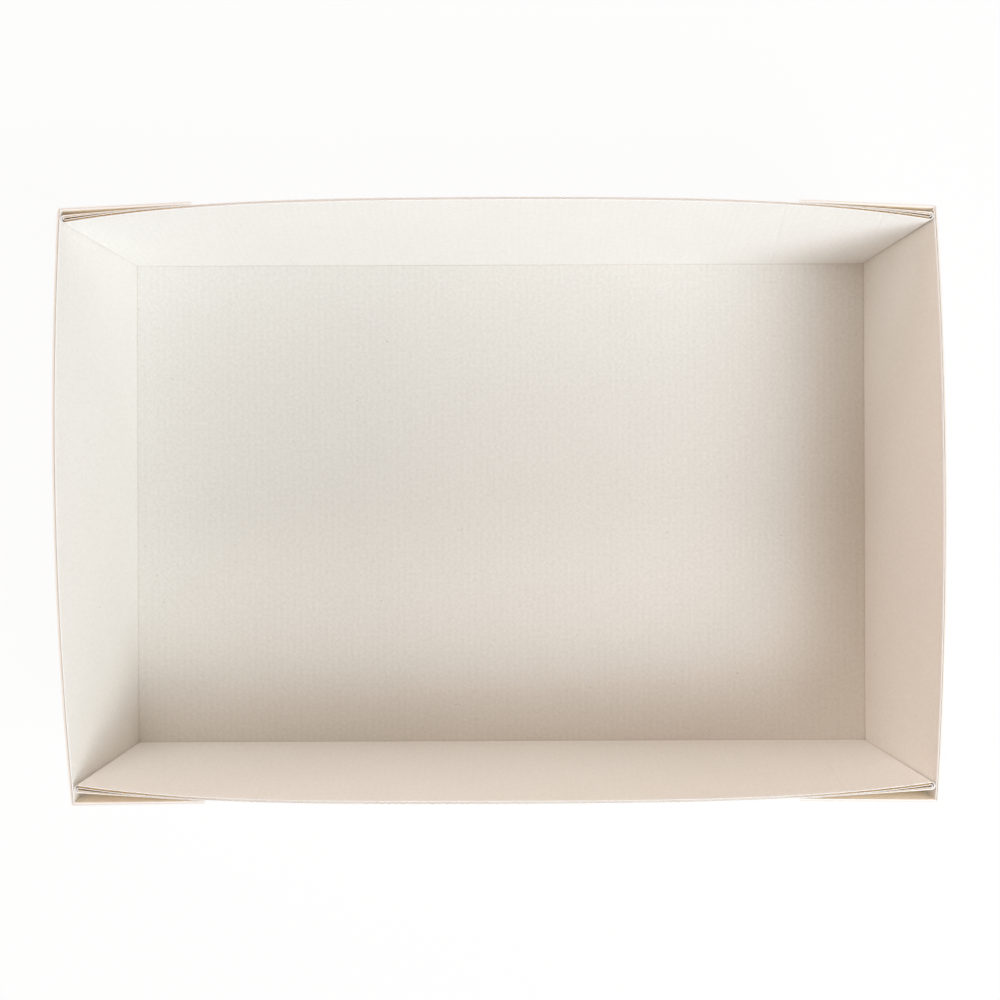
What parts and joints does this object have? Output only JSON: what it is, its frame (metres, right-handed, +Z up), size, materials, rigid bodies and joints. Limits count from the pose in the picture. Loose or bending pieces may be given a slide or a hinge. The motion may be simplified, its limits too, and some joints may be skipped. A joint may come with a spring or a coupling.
{
  "type": "corrugated board tray",
  "caption": "Open rectangular tray folded from one sheet of fine corrugated board, with webbed corners.",
  "frame": {"origin": "centre of the tray's underside", "axes": "+X along the long walls, +Y towards the back long wall, +Z up out of the open tray"},
  "size_m": [0.4088, 0.2778, 0.0865],
  "materials": {
    "board": "matt"
  },
  "bodies": {
    "root": {"tray": "board"}
  },
  "joints": []
}
